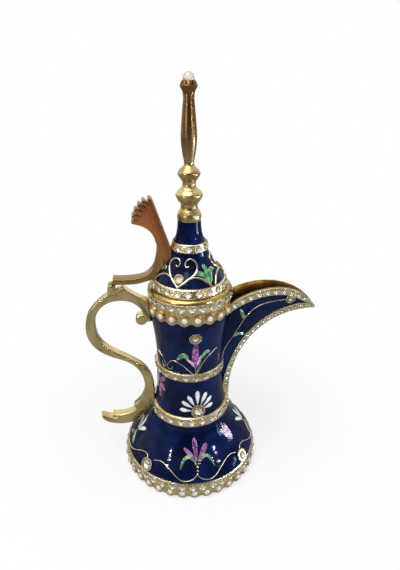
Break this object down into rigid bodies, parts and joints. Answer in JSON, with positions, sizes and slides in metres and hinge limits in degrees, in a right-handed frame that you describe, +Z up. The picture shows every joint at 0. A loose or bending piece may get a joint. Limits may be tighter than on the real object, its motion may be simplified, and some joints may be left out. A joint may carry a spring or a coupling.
{
  "type": "dallah coffee pot",
  "caption": "Small ornamental Arabic coffee pot with bell foot, waisted neck, open beak spout, S handle, tall finial and hinged lid with comb-shaped thumb lever.",
  "frame": {"origin": "centre of the flat underside of the foot ring", "axes": "+Z up along the axis of the pot, +X towards the tip of the spout, handle and lid hinge at -X"},
  "size_m": [0.099, 0.0636, 0.1693],
  "materials": {
    "enamel": "glossy cobalt enamel",
    "gold": "polished pale gold plate",
    "crystal": "foil-backed cut glass",
    "pearl": "pearl lustre"
  },
  "bodies": {
    "pot": {"belly_shell": "enamel", "base_plate": "gold", "foot_ring": "gold", "foot_pearls": "pearl", "foot_crystals": "crystal", "shoulder_band": "gold", "shoulder_crystals": "crystal", "neck_shell": "enamel", "waist_band": "gold", "waist_crystals": "crystal", "pearl_collar": "gold", "collar_pearls": "pearl", "rim_band": "gold", "rim_crystals": "crystal", "rim_flange": "gold", "spout_shell": "enamel", "lip_strips": "gold", "lip_crystals": "crystal", "keel_strip": "gold", "keel_crystals": "crystal", "handle": "gold", "hinge_yoke": "gold", "hinge_pin": "gold", "pot_bezels": "gold", "pot_bezel_stones": "crystal"},
    "lid": {"lid_shell": "enamel", "lid_spigot": "gold", "lid_band": "gold", "lid_band_crystals": "crystal", "crown_band": "gold", "crown_crystals": "crystal", "lid_bezels": "gold", "lid_bezel_stones": "crystal", "finial_cone": "enamel", "finial_bell": "gold", "finial_baluster": "gold", "finial_claws": "gold", "finial_pearl": "pearl", "finial_stud": "gold", "finial_nut": "gold", "thumb_lever": "gold"}
  },
  "joints": [
    {"name": "lid_hinge", "type": "hinge", "parent": "pot", "child": "lid", "pos_m": [-0.0318, 0, 0.0904], "axis": [0, -1, 0], "range_deg": [0, 85]}
  ]
}
